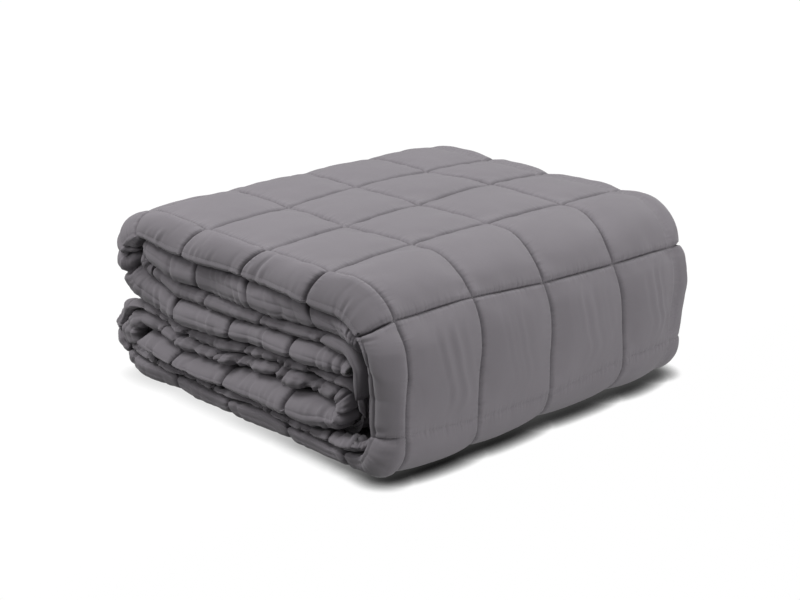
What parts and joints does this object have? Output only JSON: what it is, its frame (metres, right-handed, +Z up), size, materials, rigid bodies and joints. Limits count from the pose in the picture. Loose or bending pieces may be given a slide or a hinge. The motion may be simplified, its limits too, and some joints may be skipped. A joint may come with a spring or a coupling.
{
  "type": "weighted blanket",
  "caption": "Grey quilted weighted blanket, sewn in squares, folded double and turned into a square stack with its hems at one end.",
  "frame": {"origin": "middle of the underside's box, on the surface that the stack rests on", "axes": "+Z up, +X towards the smooth wrapped side, -Y towards the end where the hems show"},
  "size_m": [0.4684, 0.4674, 0.2034],
  "materials": {
    "cloth": "matte brushed microfibre"
  },
  "bodies": {
    "root": {"blanket": "cloth"}
  },
  "joints": []
}
